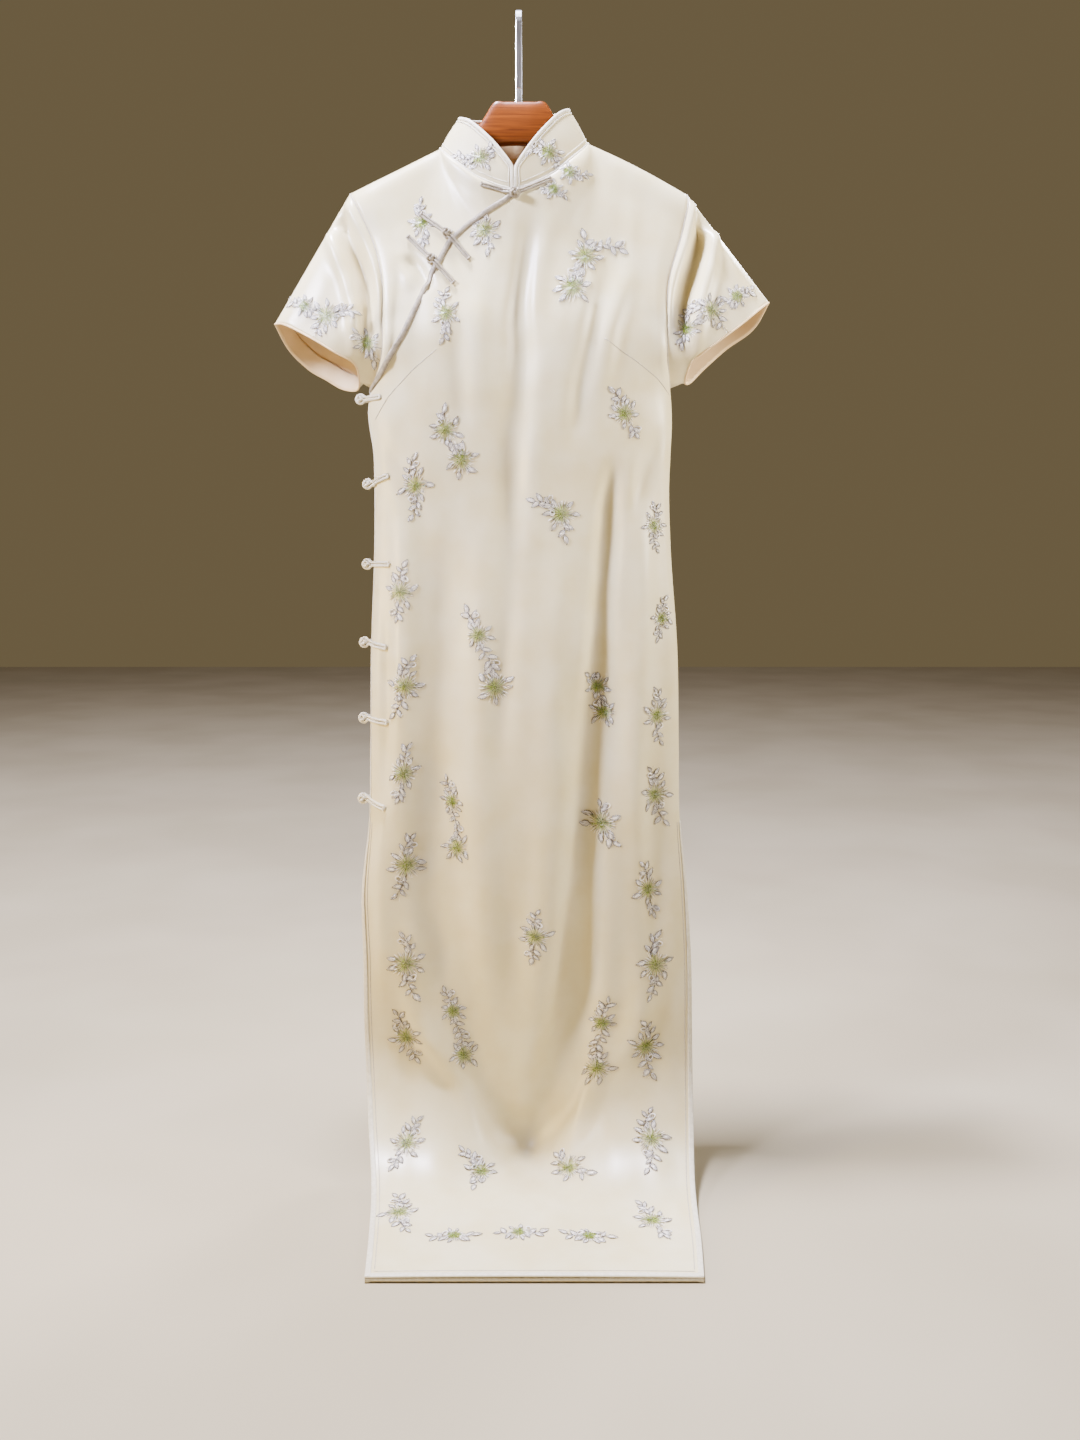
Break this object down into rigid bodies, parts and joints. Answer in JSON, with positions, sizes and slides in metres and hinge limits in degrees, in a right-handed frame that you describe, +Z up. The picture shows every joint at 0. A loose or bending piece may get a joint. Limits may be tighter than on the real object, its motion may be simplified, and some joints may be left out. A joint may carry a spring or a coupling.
{
  "type": "cheongsam dress on hanger",
  "caption": "Long ivory satin cheongsam with a stand collar, short sleeves, knotted frogs down a diagonal opening and side slits, hung on a wooden hanger.",
  "frame": {"origin": "inside top of the hanger's hook, where a rail carries it", "axes": "+Z up along the hanging dress, -Y out of the dress's front, +X to the viewer's right when facing the front"},
  "size_m": [0.543, 0.2807, 1.2556],
  "materials": {
    "ivory_satin": "ivory silk satin with a soft sheen",
    "ivory_satin_inside": "duller wrong side of the satin",
    "satin_binding": "narrow grey-cream satin binding and cord",
    "hanger_wood": "lacquered orange-brown wood",
    "hook_steel": "bright flat steel strip"
  },
  "bodies": {
    "root": {"front_panel": "ivory_satin", "back_panel": "ivory_satin", "underlap": "ivory_satin", "sleeve_left": "ivory_satin", "sleeve_right": "ivory_satin", "collar": "ivory_satin", "sleeve_hem_left": "ivory_satin_inside", "sleeve_hem_right": "ivory_satin_inside", "collar_binding": "satin_binding", "collar_end_left": "satin_binding", "collar_end_right": "satin_binding", "neck_piping": "satin_binding", "placket_binding": "satin_binding", "edge_binding_front_left": "satin_binding", "slit_binding_front_right": "satin_binding", "slit_binding_back_left": "satin_binding", "slit_binding_back_right": "satin_binding", "hem_binding_front": "satin_binding", "hem_binding_back": "satin_binding", "knot_collar": "satin_binding", "loop_strip_collar": "satin_binding", "button_strip_collar": "satin_binding", "knot_chest_upper": "satin_binding", "loop_strip_chest_upper": "satin_binding", "button_strip_chest_upper": "satin_binding", "knot_chest_lower": "satin_binding", "loop_strip_chest_lower": "satin_binding", "button_strip_chest_lower": "satin_binding", "knot_side_1": "satin_binding", "loop_strip_side_1": "satin_binding", "button_strip_side_1": "satin_binding", "knot_side_2": "satin_binding", "loop_strip_side_2": "satin_binding", "button_strip_side_2": "satin_binding", "knot_side_3": "satin_binding", "loop_strip_side_3": "satin_binding", "button_strip_side_3": "satin_binding", "knot_side_4": "satin_binding", "loop_strip_side_4": "satin_binding", "button_strip_side_4": "satin_binding", "knot_side_5": "satin_binding", "loop_strip_side_5": "satin_binding", "button_strip_side_5": "satin_binding", "knot_side_6": "satin_binding", "loop_strip_side_6": "satin_binding", "button_strip_side_6": "satin_binding", "hanger": "hanger_wood", "hook": "hook_steel"}
  },
  "joints": []
}
